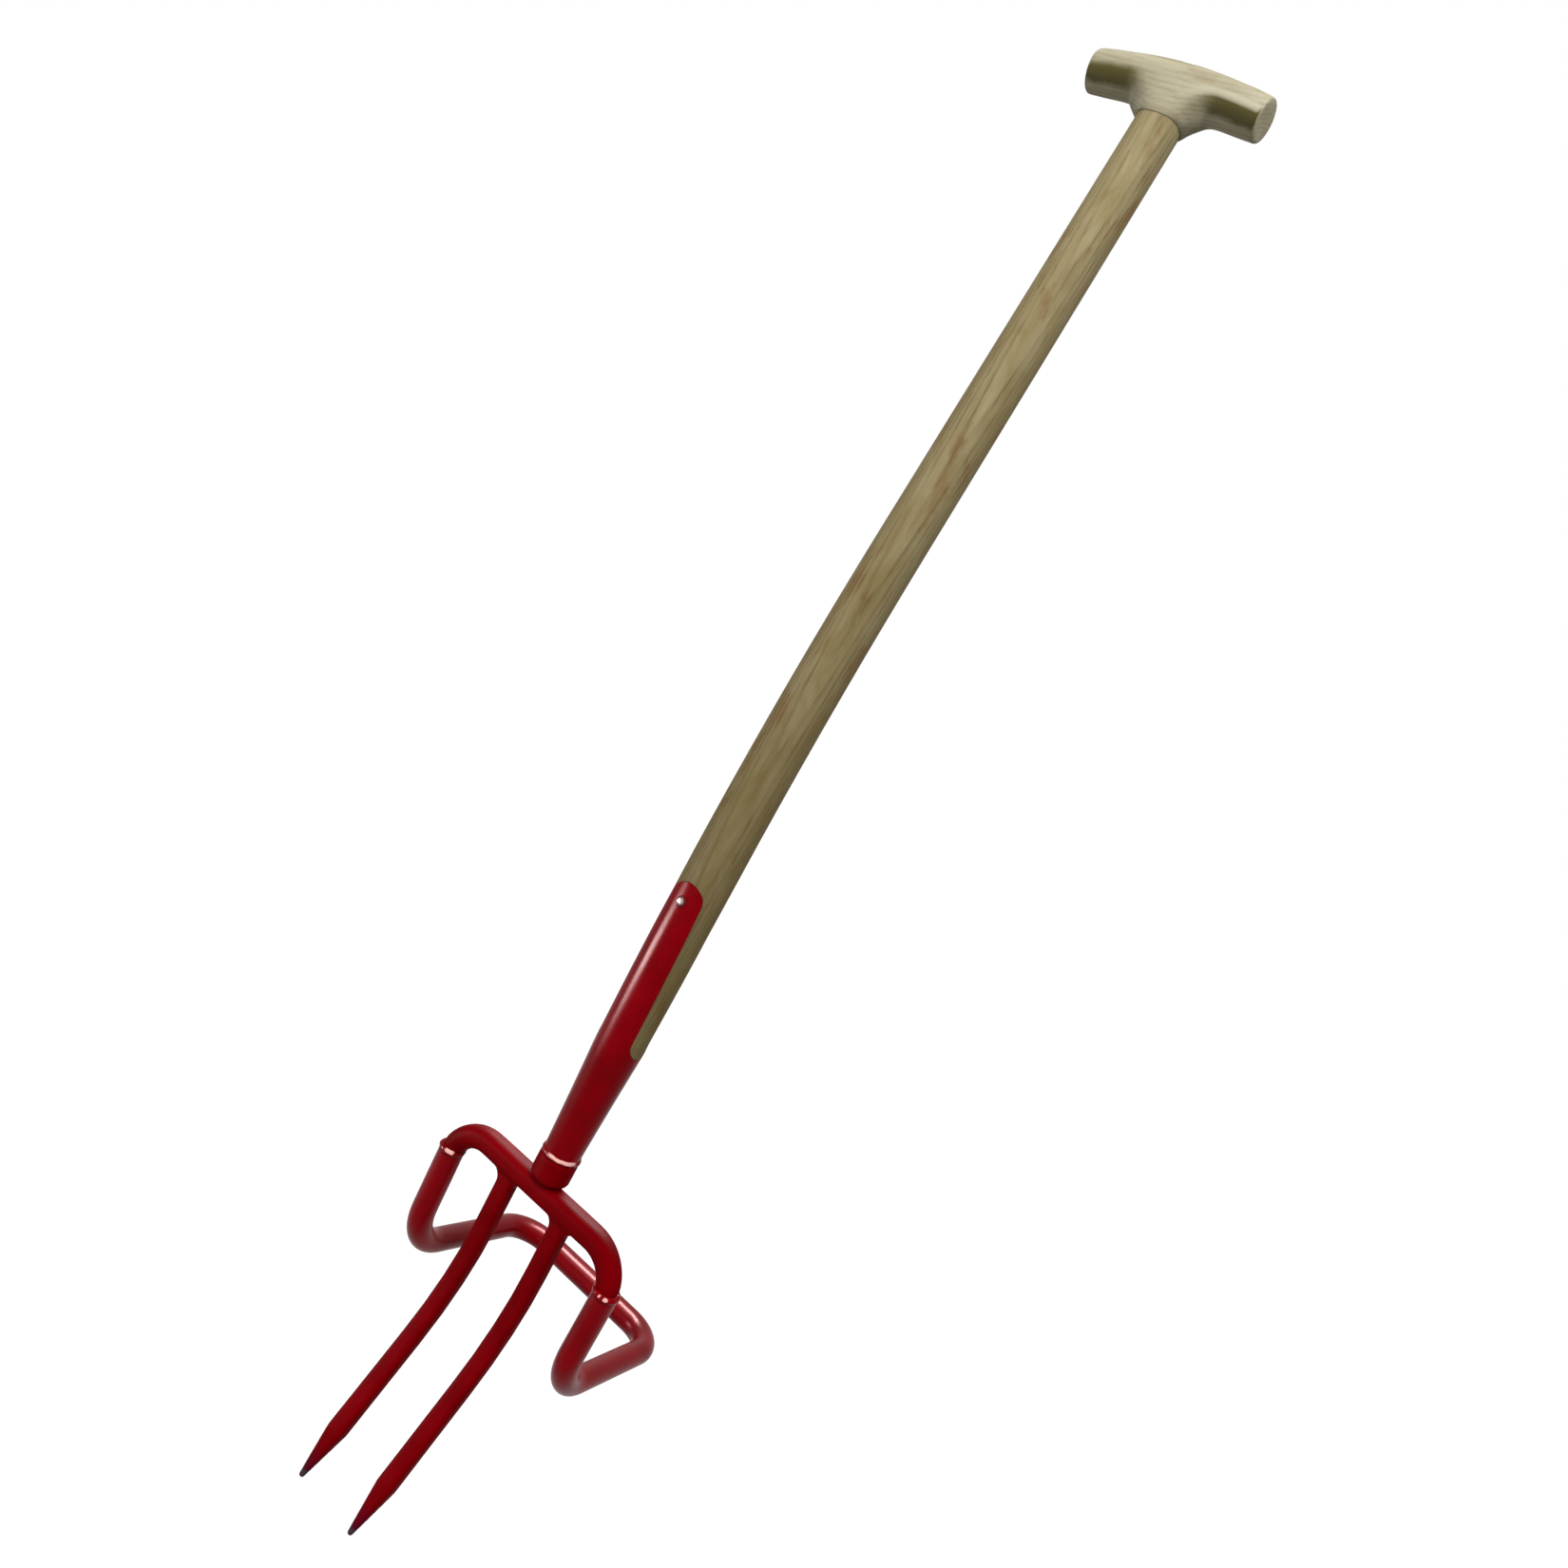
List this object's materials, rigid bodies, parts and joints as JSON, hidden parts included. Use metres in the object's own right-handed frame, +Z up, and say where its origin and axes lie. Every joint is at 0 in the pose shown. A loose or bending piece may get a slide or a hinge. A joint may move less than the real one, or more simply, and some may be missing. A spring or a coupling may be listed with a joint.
{
  "type": "weed puller",
  "caption": "Long-handled weed puller: forged tines with a bent-bar lever loop behind them, a strapped steel socket and an ash shaft with a wooden T-grip.",
  "frame": {"origin": "middle of the T-grip, on the axis of the straight upper shaft", "axes": "+Z up along the upper shaft, away from the tines; the tines' front faces -Y and the lever loop reaches out along +Y; X runs along the T-grip and the crossbar"},
  "size_m": [0.1812, 0.2457, 1.1171],
  "materials": {
    "red_paint": "gloss",
    "weld_paint": "gloss",
    "bare_steel": "satin",
    "grip_ash": "satin",
    "shaft_ash": "satin",
    "wedge_beech": "matte"
  },
  "bodies": {
    "root": {"t_grip": "grip_ash", "grip_wedge": "wedge_beech", "shaft": "shaft_ash", "socket": "red_paint", "strap_rivet": "bare_steel", "neck_weld": "weld_paint", "fork": "red_paint", "lever_loop": "red_paint", "loop_weld_left": "weld_paint", "loop_weld_right": "weld_paint"}
  },
  "joints": []
}
